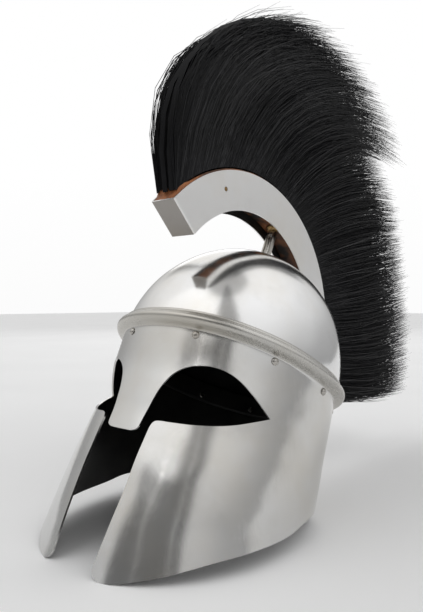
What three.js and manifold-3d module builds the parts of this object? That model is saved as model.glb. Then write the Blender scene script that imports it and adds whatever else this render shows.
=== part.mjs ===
// A Corinthian helmet in steel sheet with an upright horsehair crest, at rest on its cheek tips and nape.
//
// Every piece is first modelled in the helmet's own upright frame, in millimetres: the origin is the middle of
// the brow ring, X points to the wearer's left, Y to the back of the head and Z up. The whole helmet then leans
// back until the tips of the cheeks and the edge of the nape stand on one level surface.

import * as THREE from 'three';
import { mergeVertices } from 'three/addons/utils/BufferGeometryUtils.js';
import Module from 'manifold-3d';

const wasm = await Module();
wasm.setup();

// ---- driving dimensions -------------------------------------------------------------------------------------

const SHEET = 1.6; // steel sheet of the bowl and the face guard
const GAP = 0.3; // clearance between pieces that touch
const LAP = 0.5; // clearance between the two curved sheets where they lap
const RING_STEPS = 46; // facets round the head

// plan of the face guard's outer face: half widths at each depth under the brow ring
const WALL = [
  { depth: 0, side: 104, front: 116, back: 98 },
  { depth: 50, side: 107, front: 111.5, back: 101.5 },
  { depth: 95, side: 109.7, front: 111.5, back: 105 },
  { depth: 130, side: 111.8, front: 114, back: 107.5 },
  { depth: 215, side: 117, front: 113, back: 113.5 },
];
const FRONT_FULLNESS = 2.15; // exponent of the plan's front half; 2 is a plain ellipse

// lower edge of the face guard: depth under the brow ring at each angle from the nose
const HEM = [
  { angle: 0, depth: 210 },
  { angle: 15, depth: 210 },
  { angle: 20, depth: 207.5 },
  { angle: 27, depth: 201.5 },
  { angle: 38, depth: 191 },
  { angle: 54, depth: 173 },
  { angle: 70, depth: 156 },
  { angle: 85, depth: 138 },
  { angle: 98, depth: 120.5 },
  { angle: 112, depth: 110 },
  { angle: 125, depth: 106 },
  { angle: 140, depth: 104.5 },
  { angle: 180, depth: 104 },
];

// the surface that the helmet stands on, which the cheek tips and the nape are filed level with
const STAND = { lean: 28.5, below: 131.2 };

// hollow moulding pressed into the guard's upper edge: height over the brow ring and stand-off from the wall
const BEAD_OUTSIDE = [
  { height: 8, out: 3.7 },
  { height: 6.2, out: 3.7 },
  { height: 4.7, out: 6.2 },
  { height: 2.5, out: 8.2 },
  { height: 0, out: 8.8 },
  { height: -2.5, out: 8.2 },
  { height: -4.6, out: 5.2 },
  { height: -5.9, out: 1.8 },
  { height: -7.4, out: 0 },
];
const BEAD_INSIDE = [
  { height: -7.8, out: -SHEET },
  { height: -4.6, out: 1.6 },
  { height: -3, out: 5.4 },
  { height: 0, out: 7.2 },
  { height: 3, out: 5.6 },
  { height: 5.2, out: 2.1 },
  { height: 8, out: 2.1 },
];
const WALL_ROWS = [0.22, 0.45, 0.7, 1]; // rows of facets from the moulding down to the hem

// bowl
const DOME = { side: 105.5, front: 116.5, back: 98.5, rise: 121.7, base: 2 };
const MOUTH_DROP = 0.2; // how far the hollow reaches below the bowl's edge, which leaves it open
const DOME_STEPS = 18; // facets from the front edge over the top to the back edge
const COLUMNS = [0.12, 0.25, 0.39, 0.54, 0.69, 0.83, 0.94]; // shares of the half width from the middle to the ear

// band inside the brow, behind the rivets: heights of its edges over the brow ring
const BAND = { top: 4, bottom: -18 };

// openings in the face guard, as angle from the nose and depth under the brow ring
const NASAL_TIP = { angle: 6.6, depth: 99.4 };
const EYE_TOP = [
  { angle: 8.3, depth: 95.5 },
  { angle: 9.3, depth: 78 },
  { angle: 11, depth: 62.5 },
  { angle: 14.4, depth: 49 },
  { angle: 19.6, depth: 40.6 },
  { angle: 26.7, depth: 35.5 },
  { angle: 34, depth: 33.8 },
  { angle: 41, depth: 35.2 },
  { angle: 47.5, depth: 39.6 },
  { angle: 54, depth: 46.4 },
  { angle: 59, depth: 52.6 },
];
const EYE_CORNER = { angle: 63.4, depth: 57.8 };
const EYE_LOWER = [
  { angle: 56.6, depth: 65 },
  { angle: 48.4, depth: 73 },
  { angle: 39.8, depth: 79.2 },
  { angle: 30, depth: 83.8 },
  { angle: 21.5, depth: 86.1 },
  { angle: 16.4, depth: 86.9 },
  { angle: 14.4, depth: 88.4 },
];
const CHEEK_FRONT = [
  { angle: 13.5, depth: 92 },
  { angle: 13, depth: 115 },
  { angle: 12.9, depth: 143 },
  { angle: 12, depth: 170 },
  { angle: 11, depth: 195 },
  { angle: 10.8, depth: 202 },
  { angle: 12, depth: 206.6 },
  { angle: 14.4, depth: 209.5 },
];
const BELOW_HEM = 225;

// rivets
const RIVET_ANGLES = [-161, -127, -91, -59.5, -18, 21, 59.5, 91, 127, 161];
const RIVET = { depth: 11.3, head: 3.4, rise: 2.3, shank: 1.7, tail: 3, tailRise: 1, seat: 0.8, sides: 8 };

// crest: a channel bent round one centre in the middle plane
const ARC = { y: -15.4, z: 40.3, inner: 115.9, outer: 154.7, rear: -11.5, front: 160.6 };
const HOLDER = { width: 28.4, plate: 1.2, endPlate: 1.6 };
const BLOCK = { underside: 125, proud: 1.6, frontProud: 3.4, frontReach: 9 };
const PIN = { y: -107.8, z: 141.6, radius: 1.8, recess: 0.5 };
const POST = { y: -7, legWidth: 8, leg: 2.6, spread: 5, bridge: 4, foot: 3 };
const NAIL = { y: -9, radius: 5, rise: 3.4, shank: 1.5, length: 16 };

// hair, in locks: root angle on the arc, place of the tip, heading at the root and how soon the lock turns
const LOCKS = [
  { root: 156, tipY: -74, tipZ: 388, heading: 105, rise: 0.5 },
  { root: 148, tipY: -54, tipZ: 410, heading: 102, rise: 0.5 },
  { root: 139, tipY: -26, tipZ: 429, heading: 99, rise: 0.5 },
  { root: 130, tipY: 8, tipZ: 444, heading: 96, rise: 0.5 },
  { root: 121, tipY: 46, tipZ: 454, heading: 92, rise: 0.5 },
  { root: 112, tipY: 90, tipZ: 457, heading: 88, rise: 0.5 },
  { root: 103, tipY: 140, tipZ: 448, heading: 83, rise: 0.5 },
  { root: 94, tipY: 182, tipZ: 424, heading: 77, rise: 0.48 },
  { root: 84, tipY: 204, tipZ: 394, heading: 70, rise: 0.46 },
  { root: 72, tipY: 214, tipZ: 348, heading: 60, rise: 0.42 },
  { root: 58, tipY: 240, tipZ: 318, heading: 48, rise: 0.4 },
  { root: 42, tipY: 276, tipZ: 280, heading: 36, rise: 0.4 },
  { root: 27, tipY: 312, tipZ: 238, heading: 26, rise: 0.4 },
  { root: 12, tipY: 342, tipZ: 186, heading: 21, rise: 0.4 },
  { root: -2, tipY: 356, tipZ: 130, heading: 19, rise: 0.4 },
];
const HAIR = { locks: 25, rows: 5, sides: 6, backing: 7, backingHalf: 10.5, splayRoot: 3, splay: 13 };
const LOCK_SHAPE = [
  { along: 0, halfWidth: 10, halfThick: 6 },
  { along: 0.4, halfWidth: 15, halfThick: 5.6 },
  { along: 0.7, halfWidth: 16, halfThick: 4.6 },
  { along: 0.88, halfWidth: 14, halfThick: 3.4 },
  { along: 1, halfWidth: 6, halfThick: 1.6 },
];

// ---- helpers ------------------------------------------------------------------------------------------------

const rad = THREE.MathUtils.degToRad;
const lerp = THREE.MathUtils.lerp;

// value of one column of a table at a place along its first column, by straight lines
function lookUp(table, key, at, column) {
  const last = table.length - 1;
  if (at <= table[0][key]) return table[0][column];
  if (at >= table[last][key]) return table[last][column];
  const i = table.findIndex((row) => row[key] > at);
  const low = table[i - 1];
  const high = table[i];
  return lerp(low[column], high[column], (at - low[key]) / (high[key] - low[key]));
}

// point of the head's plan at an angle from the nose, positive towards the wearer's left
function planPoint(angle, side, front, back, z) {
  const s = Math.sin(rad(angle));
  const c = Math.cos(rad(angle));
  const power = c > 0 ? 2 / FRONT_FULLNESS : 1;
  const reach = c > 0 ? front : back;
  const x = side * Math.sign(s) * Math.abs(s) ** power;
  const y = -reach * Math.sign(c) * Math.abs(c) ** power;
  return new THREE.Vector3(x, y, z);
}

// point of the guard's wall at an angle and a depth, moved outwards by an offset
function wallPoint(angle, depth, out = 0) {
  const side = lookUp(WALL, 'depth', depth, 'side') + out;
  const front = lookUp(WALL, 'depth', depth, 'front') + out;
  const back = lookUp(WALL, 'depth', depth, 'back') + out;
  return planPoint(angle, side, front, back, -depth);
}

// geometry of a closed skin from rings of equally many points; ends: 'cap' closes them flat, 'join' makes a tube
function skin(rings, ends) {
  const count = rings[0].length;
  const positions = rings.flat().flatMap((p) => [p.x, p.y, p.z]);
  const index = [];
  const spans = ends === 'join' ? rings.length : rings.length - 1;
  for (let r = 0; r < spans; r++) {
    const next = ((r + 1) % rings.length) * count;
    for (let i = 0; i < count; i++) {
      const a = r * count + i;
      const b = r * count + ((i + 1) % count);
      const c = next + ((i + 1) % count);
      const d = next + i;
      index.push(a, b, c, a, c, d);
    }
  }
  if (ends === 'cap') {
    for (const ring of [0, rings.length - 1]) {
      const middle = new THREE.Vector3();
      rings[ring].forEach((p) => middle.add(p));
      middle.divideScalar(count);
      positions.push(middle.x, middle.y, middle.z);
      const hub = positions.length / 3 - 1;
      for (let i = 0; i < count; i++) {
        const a = ring * count + i;
        const b = ring * count + ((i + 1) % count);
        if (ring === 0) index.push(hub, b, a);
        else index.push(hub, a, b);
      }
    }
  }
  const geometry = new THREE.BufferGeometry();
  geometry.setAttribute('position', new THREE.Float32BufferAttribute(positions, 3));
  geometry.setIndex(index);
  return geometry;
}

// signed volume, negative when the faces point inwards
function volumeOf(geometry) {
  const p = geometry.attributes.position;
  const index = geometry.index.array;
  const [a, b, c] = [new THREE.Vector3(), new THREE.Vector3(), new THREE.Vector3()];
  let sum = 0;
  for (let i = 0; i < index.length; i += 3) {
    a.fromBufferAttribute(p, index[i]);
    b.fromBufferAttribute(p, index[i + 1]);
    c.fromBufferAttribute(p, index[i + 2]);
    sum += a.dot(b.cross(c));
  }
  return sum / 6;
}

// a solid for cutting and joining, whichever way round its triangles came
function solid(source) {
  const bare = source.clone();
  bare.deleteAttribute('normal');
  bare.deleteAttribute('uv');
  const geometry = mergeVertices(bare, 1e-4);
  const triangles = Uint32Array.from(geometry.index.array);
  if (volumeOf(geometry) < 0) {
    for (let i = 0; i < triangles.length; i += 3) {
      [triangles[i], triangles[i + 1]] = [triangles[i + 1], triangles[i]];
    }
  }
  const vertProperties = Float32Array.from(geometry.attributes.position.array);
  return new wasm.Manifold(new wasm.Mesh({ numProp: 3, vertProperties, triVerts: triangles }));
}

function geometryOf(manifold) {
  const mesh = manifold.getMesh();
  const geometry = new THREE.BufferGeometry();
  geometry.setAttribute('position', new THREE.Float32BufferAttribute(mesh.vertProperties, 3));
  geometry.setIndex(new THREE.Uint32BufferAttribute(mesh.triVerts, 1));
  geometry.computeVertexNormals();
  return geometry;
}

function placed(geometry, position, xAxis = null) {
  const copy = geometry.clone();
  if (xAxis) {
    const turn = new THREE.Quaternion().setFromUnitVectors(new THREE.Vector3(1, 0, 0), xAxis);
    copy.applyQuaternion(turn);
  }
  return copy.translate(position.x, position.y, position.z);
}

// ---- bowl and brow band -------------------------------------------------------------------------------------

// one row across the dome, ear to ear, at a turn over the head in degrees; grow moves the face in or out
function domeRow(turn, grow) {
  const across = [...COLUMNS.map((share) => -share).reverse(), 0, ...COLUMNS];
  const c = Math.cos(rad(turn));
  const s = Math.sin(rad(turn));
  const reach = (c > 0 ? DOME.front : DOME.back) + grow;
  const power = c > 0 ? FRONT_FULLNESS : 2;
  return across.map((share) => {
    const out = Math.abs(share);
    const y = -reach * (1 - out ** power) ** (1 / power) * c;
    const z = DOME.base + (DOME.rise + grow) * Math.sqrt(1 - out * out) * s;
    return new THREE.Vector3((DOME.side + grow) * share, y, z);
  });
}

// the dome as a full body with a flat underside at the given height over its base
function domeBody(grow) {
  const rows = [];
  for (let i = 0; i <= DOME_STEPS; i++) rows.push(domeRow((180 * i) / DOME_STEPS, grow));
  const count = rows[0].length;
  const side = DOME.side + grow;
  const positions = rows.flat().flatMap((p) => [p.x, p.y, p.z]);
  const ears = [-side, side].map((x) => {
    positions.push(x, 0, DOME.base);
    return positions.length / 3 - 1;
  });
  const index = [];
  for (let r = 0; r < DOME_STEPS; r++) {
    for (let i = 0; i < count - 1; i++) {
      const a = r * count + i;
      index.push(a, a + 1, a + count + 1, a, a + count + 1, a + count);
    }
    index.push(ears[0], r * count, (r + 1) * count);
    index.push(ears[1], (r + 2) * count - 1, (r + 1) * count - 1);
  }
  // the flat underside: front edge and back edge face each other column by column
  const last = DOME_STEPS * count;
  for (let i = 0; i < count - 1; i++) index.push(i, last + i, last + i + 1, i, last + i + 1, i + 1);
  index.push(ears[0], last, 0);
  index.push(ears[1], count - 1, last + count - 1);
  const geometry = new THREE.BufferGeometry();
  geometry.setAttribute('position', new THREE.Float32BufferAttribute(positions, 3));
  geometry.setIndex(index);
  return geometry;
}

function ring(depth, out) {
  const points = [];
  for (let i = 0; i < RING_STEPS; i++) points.push(wallPoint((360 * i) / RING_STEPS, depth, out));
  return points;
}

function drum(top, bottom, out) {
  return skin([ring(-top, out), ring(-bottom, out)], 'cap');
}

function bowl() {
  return solid(domeBody(0)).subtract(solid(domeBody(-SHEET).translate(0, 0, -MOUTH_DROP)));
}

function browBand() {
  const outside = -SHEET - LAP;
  const inside = solid(drum(BAND.top + 1, BAND.bottom - 1, outside - SHEET));
  return solid(drum(BAND.top, BAND.bottom, outside)).subtract(inside).subtract(rivetHoles());
}

// ---- face guard ---------------------------------------------------------------------------------------------

function guardRing(row, outwards) {
  const points = [];
  for (let i = 0; i < RING_STEPS; i++) {
    const angle = (360 * i) / RING_STEPS;
    const hem = lookUp(HEM, 'angle', Math.min(angle, 360 - angle), 'depth');
    const depth = lerp(-BEAD_OUTSIDE.at(-1).height, hem, row);
    points.push(wallPoint(angle, depth, outwards));
  }
  return points;
}

function guardSheet() {
  const rings = BEAD_OUTSIDE.map(({ height, out }) => ring(-height, out));
  for (const row of WALL_ROWS) rings.push(guardRing(row, 0));
  for (const row of [...WALL_ROWS].reverse()) rings.push(guardRing(row, -SHEET));
  for (const { height, out } of BEAD_INSIDE) rings.push(ring(-height, out));
  return skin(rings, 'join');
}

// a cutter that pierces the wall along rays from the helmet's axis, through an outline on the wall
function wallCutter(outline) {
  const flat = outline.map(({ angle, depth }) => new THREE.Vector2(angle, depth));
  const faces = THREE.ShapeUtils.triangulateShape(flat, []);
  const count = outline.length;
  const positions = [];
  for (const scale of [0.78, 1.25]) {
    for (const { angle, depth } of outline) {
      const p = wallPoint(angle, depth);
      positions.push(p.x * scale, p.y * scale, p.z);
    }
  }
  const index = [];
  for (const [a, b, c] of faces) index.push(a, b, c, a + count, c + count, b + count);
  for (let i = 0; i < count; i++) {
    const j = (i + 1) % count;
    if (THREE.ShapeUtils.area(flat) > 0) index.push(j, i, i + count, j, i + count, j + count);
    else index.push(i, j, j + count, i, j + count, i + count);
  }
  const geometry = new THREE.BufferGeometry();
  geometry.setAttribute('position', new THREE.Float32BufferAttribute(positions, 3));
  geometry.setIndex(index);
  return geometry;
}

// the one opening for both eyes and the gap between the cheeks, round the nasal bar
function faceOpening() {
  const left = [NASAL_TIP, ...EYE_TOP, EYE_CORNER, ...EYE_LOWER, ...CHEEK_FRONT];
  left.push({ angle: CHEEK_FRONT.at(-1).angle, depth: BELOW_HEM });
  const right = left.map(({ angle, depth }) => ({ angle: -angle, depth })).reverse();
  return wallCutter([...left, ...right]);
}

// all that lies under the surface that the helmet stands on, leaning as the upright helmet sees it
function ground() {
  const deep = 60;
  const slab = new THREE.BoxGeometry(400, 500, deep).translate(0, 0, -STAND.below - deep / 2);
  return solid(slab.rotateX(rad(STAND.lean)));
}

function faceGuard() {
  return solid(guardSheet()).subtract(solid(faceOpening())).subtract(rivetHoles()).subtract(ground());
}

// ---- rivets -------------------------------------------------------------------------------------------------

function rivetPlace(angle) {
  const step = 0.5;
  const place = wallPoint(angle, RIVET.depth);
  const along = wallPoint(angle + step, RIVET.depth).sub(wallPoint(angle - step, RIVET.depth));
  const outward = new THREE.Vector3(along.y, -along.x, 0).normalize();
  if (outward.dot(place) < 0) outward.negate();
  return { place, outward };
}

// lathed about X, with the wall's outer face at x = 0
function rivetBody() {
  const grip = 2 * SHEET + LAP + RIVET.seat;
  const profile = [
    [0, RIVET.rise],
    [RIVET.head * 0.62, RIVET.rise * 0.8],
    [RIVET.head, GAP],
    [RIVET.shank, GAP],
    [RIVET.shank, -grip],
    [RIVET.tail, -grip],
    [RIVET.tail * 0.7, -grip - RIVET.tailRise],
    [0, -grip - RIVET.tailRise],
  ];
  const points = profile.map(([r, x]) => new THREE.Vector2(r, x));
  return new THREE.LatheGeometry(points, RIVET.sides).rotateZ(-Math.PI / 2);
}

function rivet(angle) {
  const { place, outward } = rivetPlace(angle);
  return solid(placed(rivetBody(), place, outward));
}

function rivetHoles() {
  const drill = new THREE.CylinderGeometry(RIVET.shank + GAP, RIVET.shank + GAP, 20, RIVET.sides);
  drill.rotateZ(-Math.PI / 2);
  const holes = RIVET_ANGLES.map((angle) => {
    const { place, outward } = rivetPlace(angle);
    return solid(placed(drill, place, outward));
  });
  return holes.reduce((all, hole) => all.add(hole));
}

// ---- crest --------------------------------------------------------------------------------------------------

function arcPoint(radius, angle, x = 0) {
  const a = rad(angle);
  return new THREE.Vector3(x, ARC.y + radius * Math.cos(a), ARC.z + radius * Math.sin(a));
}

// a bar bent round the crest's centre: a rectangle between two radii, from one angle to another
function bentBar(inner, outer, halfWidth, from, to, steps) {
  const rings = [];
  for (let i = 0; i <= steps; i++) {
    const angle = lerp(from, to, i / steps);
    rings.push([
      arcPoint(inner, angle, -halfWidth),
      arcPoint(inner, angle, halfWidth),
      arcPoint(outer, angle, halfWidth),
      arcPoint(outer, angle, -halfWidth),
    ]);
  }
  return skin(rings, 'cap');
}

function crossPin(radius, halfLength, y, z) {
  return new THREE.CylinderGeometry(radius, radius, 2 * halfLength, 12).rotateZ(Math.PI / 2).translate(0, y, z);
}

function crestHolder() {
  const half = HOLDER.width / 2;
  const endAngle = THREE.MathUtils.radToDeg(HOLDER.endPlate / ARC.outer);
  const body = solid(bentBar(ARC.inner, ARC.outer, half, ARC.rear, ARC.front, 30));
  const inside = solid(
    bentBar(ARC.inner - 8, ARC.outer + 8, half - HOLDER.plate, ARC.rear - 4, ARC.front - endAngle, 30),
  );
  const hole = solid(crossPin(PIN.radius + GAP, half + 4, PIN.y, PIN.z));
  const clear = solid(domeBody(LAP));
  const rearPlate = solid(
    bentBar(ARC.inner + 2, ARC.outer - 0.4, half - HOLDER.plate / 2, ARC.rear, ARC.rear + endAngle, 2),
  );
  return body.subtract(inside).add(rearPlate).subtract(hole).subtract(clear);
}

function crestBlock() {
  const half = HOLDER.width / 2 - HOLDER.plate - GAP;
  const outer = ARC.outer + BLOCK.proud;
  const degrees = (length) => THREE.MathUtils.radToDeg(length / ARC.outer);
  const rear = ARC.rear + degrees(HOLDER.endPlate + GAP);
  const front = ARC.front - degrees(HOLDER.endPlate + GAP);
  const bar = solid(bentBar(BLOCK.underside, outer, half, rear, front, 30));
  const nose = solid(
    bentBar(ARC.outer - 2, ARC.outer + BLOCK.frontProud, half, front - BLOCK.frontReach, front, 3),
  );
  const hole = solid(crossPin(PIN.radius + GAP, half + 4, PIN.y, PIN.z));
  const nailHole = solid(nailShank(NAIL.shank + GAP, NAIL.length + GAP));
  return bar.add(nose).subtract(hole).subtract(nailHole);
}

function crestPin() {
  return solid(crossPin(PIN.radius, HOLDER.width / 2 - PIN.recess, PIN.y, PIN.z));
}

// height of the block's underside over the brow ring at a place along the helmet
function blockUnderside(y) {
  return ARC.z + Math.sqrt(BLOCK.underside ** 2 - (y - ARC.y) ** 2);
}

function nailShank(radius, length) {
  const foot = blockUnderside(NAIL.y);
  const shank = new THREE.CylinderGeometry(radius, radius, length + 2, 10);
  return shank.rotateX(Math.PI / 2).translate(0, NAIL.y, foot + length / 2 - 1);
}

function crestNail() {
  const top = blockUnderside(NAIL.y) - 2 * GAP;
  const profile = [
    [0, -NAIL.rise],
    [NAIL.radius * 0.6, -NAIL.rise * 0.85],
    [NAIL.radius * 0.94, -NAIL.rise * 0.4],
    [NAIL.radius, 0],
    [0, 0],
  ].map(([r, h]) => new THREE.Vector2(r, h));
  const head = new THREE.LatheGeometry(profile, 14).rotateX(Math.PI / 2).translate(0, NAIL.y, top);
  return solid(head).add(solid(nailShank(NAIL.shank, NAIL.length)));
}

// a fork of flat strip that carries the crest: two legs on the dome, joined under the nail's head
function crestPost() {
  const top = blockUnderside(NAIL.y) - NAIL.rise - 3 * GAP;
  const domeTop = DOME.base + DOME.rise;
  const height = top - domeTop + POST.foot;
  const leg = new THREE.BoxGeometry(POST.leg, POST.legWidth, height);
  leg.translate(0, POST.y, top - height / 2);
  const bridge = new THREE.BoxGeometry(2 * POST.spread + POST.leg, POST.legWidth, POST.bridge);
  bridge.translate(0, POST.y, top - POST.bridge / 2);
  return solid(leg.clone().translate(-POST.spread, 0, 0))
    .add(solid(leg.clone().translate(POST.spread, 0, 0)))
    .add(solid(bridge))
    .subtract(solid(domeBody(GAP)));
}

// ---- hair ---------------------------------------------------------------------------------------------------

// middle line of the lock that is rooted at an angle on the arc
function lockLine(angle) {
  const table = [...LOCKS].reverse();
  const value = (column) => lookUp(table, 'root', angle, column);
  const root = arcPoint(ARC.outer + BLOCK.frontProud + 2 * GAP, angle);
  const tip = new THREE.Vector3(0, value('tipY'), value('tipZ'));
  const heading = rad(value('heading'));
  const turn = new THREE.Vector3(0, Math.cos(heading), Math.sin(heading));
  turn.multiplyScalar(root.distanceTo(tip) * value('rise')).add(root);
  return new THREE.QuadraticBezierCurve3(root, turn, tip);
}

// one flat lock with a pointed end, in the left, middle or right layer of the brush by turns
function lock(number) {
  const share = number / (HAIR.locks - 1);
  const line = lockLine(lerp(LOCKS[0].root, LOCKS.at(-1).root, share));
  const layer = (number % 3) - 1;
  const rings = [];
  for (let r = 0; r <= HAIR.rows; r++) {
    const along = r / HAIR.rows;
    const middle = line.getPoint(along);
    const ahead = line.getTangent(along);
    const across = new THREE.Vector3(0, ahead.z, -ahead.y);
    middle.x = layer * lerp(HAIR.splayRoot, HAIR.splay, Math.sqrt(along));
    const halfWidth = lookUp(LOCK_SHAPE, 'along', along, 'halfWidth');
    const halfThick = lookUp(LOCK_SHAPE, 'along', along, 'halfThick');
    const points = [];
    for (let i = 0; i < HAIR.sides; i++) {
      const turn = (2 * Math.PI * i) / HAIR.sides;
      const point = middle.clone().addScaledVector(across, halfWidth * Math.cos(turn));
      point.x += halfThick * Math.sin(turn);
      points.push(point);
    }
    rings.push(points);
  }
  return solid(skin(rings, 'cap'));
}

function hairBrush() {
  const inner = ARC.outer + BLOCK.frontProud + GAP;
  const from = LOCKS.at(-1).root - 4;
  const to = LOCKS[0].root + 1;
  let hair = solid(bentBar(inner, inner + HAIR.backing, HAIR.backingHalf, from, to, 30));
  for (let i = 0; i < HAIR.locks; i++) hair = hair.add(lock(i));
  const below = solid(bentBar(inner - 30, inner, 30, from - 20, to + 20, 38));
  return hair.subtract(below);
}

// ---- assembly -----------------------------------------------------------------------------------------------

const finish = {
  steel: new THREE.MeshStandardMaterial({ color: 0xc4c4c6, roughness: 0.28, metalness: 1 }),
  rivetSteel: new THREE.MeshStandardMaterial({ color: 0xb9b7b4, roughness: 0.35, metalness: 1 }),
  channelSteel: new THREE.MeshStandardMaterial({ color: 0xcfcfcd, roughness: 0.4, metalness: 1 }),
  brass: new THREE.MeshStandardMaterial({ color: 0xb08d4c, roughness: 0.35, metalness: 1 }),
  wood: new THREE.MeshStandardMaterial({ color: 0xb06a35, roughness: 0.7, metalness: 0 }),
  hair: new THREE.MeshStandardMaterial({ color: 0x16161a, roughness: 0.55, metalness: 0 }),
};

const upright = new THREE.Group();

function piece(name, manifold, material) {
  const mesh = new THREE.Mesh(geometryOf(manifold), material);
  mesh.name = name;
  upright.add(mesh);
}

piece('bowl', bowl(), finish.steel);
piece('brow_band', browBand(), finish.steel);
piece('face_guard', faceGuard(), finish.steel);
RIVET_ANGLES.forEach((angle, i) => {
  piece(`rivet_${String(i + 1).padStart(2, '0')}`, rivet(angle), finish.rivetSteel);
});
piece('crest_holder', crestHolder(), finish.channelSteel);
piece('crest_block', crestBlock(), finish.wood);
piece('crest_pin', crestPin(), finish.brass);
piece('crest_nail', crestNail(), finish.brass);
piece('crest_post', crestPost(), finish.channelSteel);
piece('hair_brush', hairBrush(), finish.hair);

upright.rotation.x = -rad(STAND.lean);

// the origin is under the middle of the helmet's box, on the surface that it stands on
const helmet = new THREE.Group();
helmet.add(upright);
helmet.updateMatrixWorld(true);
const box = new THREE.Box3().setFromObject(helmet, true);
const centre = box.getCenter(new THREE.Vector3());
upright.position.set(-centre.x, -centre.y, -box.min.z);
helmet.updateMatrixWorld(true);

export default helmet;
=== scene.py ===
"""Looks of a Corinthian helmet in polished steel with an upright horsehair crest.

Shapes are laid out in the helmet's own upright frame, in millimetres: the origin is the middle of the brow
ring, X is the wearer's left, Y the back of the head and Z up. SET_DOWN leans each finished shape back on its
cheek tips and nape, in metres.
"""

import bisect
import math
import random

import bmesh
import bpy
from mathutils import Matrix, Vector, noise


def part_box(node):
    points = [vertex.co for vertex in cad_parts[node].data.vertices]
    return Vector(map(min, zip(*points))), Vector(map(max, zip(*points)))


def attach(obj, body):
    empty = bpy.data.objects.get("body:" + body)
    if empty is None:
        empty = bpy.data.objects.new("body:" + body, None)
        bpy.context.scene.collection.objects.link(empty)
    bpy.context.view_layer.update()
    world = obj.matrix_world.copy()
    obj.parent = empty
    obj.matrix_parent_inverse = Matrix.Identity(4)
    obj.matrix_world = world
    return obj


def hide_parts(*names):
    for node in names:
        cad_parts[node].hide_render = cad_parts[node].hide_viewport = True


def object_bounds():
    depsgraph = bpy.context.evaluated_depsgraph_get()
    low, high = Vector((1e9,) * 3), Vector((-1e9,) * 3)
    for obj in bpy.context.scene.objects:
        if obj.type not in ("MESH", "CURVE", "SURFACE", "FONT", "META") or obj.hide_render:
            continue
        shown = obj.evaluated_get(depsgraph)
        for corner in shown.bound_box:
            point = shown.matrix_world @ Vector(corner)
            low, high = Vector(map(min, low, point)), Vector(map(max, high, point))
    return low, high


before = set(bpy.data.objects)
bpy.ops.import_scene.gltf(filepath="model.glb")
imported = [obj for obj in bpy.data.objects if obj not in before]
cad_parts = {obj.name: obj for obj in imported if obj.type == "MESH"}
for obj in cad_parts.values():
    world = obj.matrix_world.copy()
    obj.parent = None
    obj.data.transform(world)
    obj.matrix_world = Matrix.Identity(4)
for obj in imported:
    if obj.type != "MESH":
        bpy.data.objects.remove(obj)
cad_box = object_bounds()

# ---- sizes, in millimetres and degrees -------------------------------------------------------------------

MM = 0.001
LEAN = math.radians(28.5)
SHEET = 1.6

ARC_Y, ARC_Z = -15.4, 40.3
ARC_INNER, ARC_OUTER = 115.9, 154.7
ARC_REAR, ARC_FRONT = -11.5, 160.6
CHANNEL_WIDTH, CHANNEL_PLATE = 28.4, 1.4
BLOCK_UNDERSIDE = 125
RIVET_DEPTH = 11.3
MOULDING_FOOT = 7.5
PIN_Y, PIN_Z = -107.8, 141.6

# half widths of the guard's plan at each depth under the brow ring: depth, side, front, back
WALL = [
    (-30, 102.5, 118.5, 96),
    (0, 104, 116, 98),
    (50, 107, 111.5, 101.5),
    (75, 108.5, 111.6, 103.2),
    (100, 110, 113.4, 105.3),
    (130, 111.8, 115, 107.5),
    (165, 114, 115.1, 110),
    (215, 117, 113.8, 113.5),
    (245, 118.5, 113.4, 115),
]
# stand-off of the sheet's outer face from the wall, by height over the brow ring: the hollow brow moulding
MOULDING = [
    (-30, 0), (-10, 0), (-7.6, 0.15), (-6.2, 1.3), (-5.0, 4.0), (-3.6, 6.6), (-2.0, 8.2), (0, 8.8),
    (2.0, 8.3), (3.6, 6.9), (5.0, 5.0), (6.0, 4.0), (6.8, 3.6), (8.0, 3.6), (14, 3.6),
]
# lower edge of the guard: angle from the nose and depth
HEM = [
    (0, 210), (15, 210), (20, 207.5), (27, 201.5), (38, 191), (54, 173), (70, 156), (85, 138), (98, 120.5),
    (112, 110), (125, 106), (140, 104.5), (160, 104), (180, 104),
]
NASAL_TIP = [(0, 99.6), (3, 99.5), (5.6, 99.1), (7.4, 97.6), (8.2, 95)]
EYE_TOP = [
    (8.7, 86), (9.3, 78), (11, 62.5), (14.4, 49), (19.6, 40.6), (26.7, 35.5), (34, 33.8), (41, 35.2),
    (47.5, 39.6), (54, 46.4), (59, 52.6), (63.4, 57.8),
]
EYE_LOWER = [
    (63.4, 57.8), (56.6, 65), (48.4, 73), (39.8, 79.2), (30, 83.8), (21.5, 86.1), (17, 86.9), (14.8, 88),
    (13.7, 90.6), (13.3, 94),
]
CHEEK_FRONT = [
    (13.3, 94), (13, 115), (12.9, 143), (12, 170), (11, 195), (10.8, 202), (12, 206.6), (14.4, 209.5),
    (17, 212), (17, 235),
]

DOME_SIDE, DOME_FRONT, DOME_BACK, DOME_RISE, DOME_BASE = 105.4, 116.4, 98.4, 121.6, 2.0


# ---- small helpers ---------------------------------------------------------------------------------------


def smooth(low, high, x):
    t = min(1.0, max(0.0, (x - low) / (high - low)))
    return t * t * (3 - 2 * t)


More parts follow.
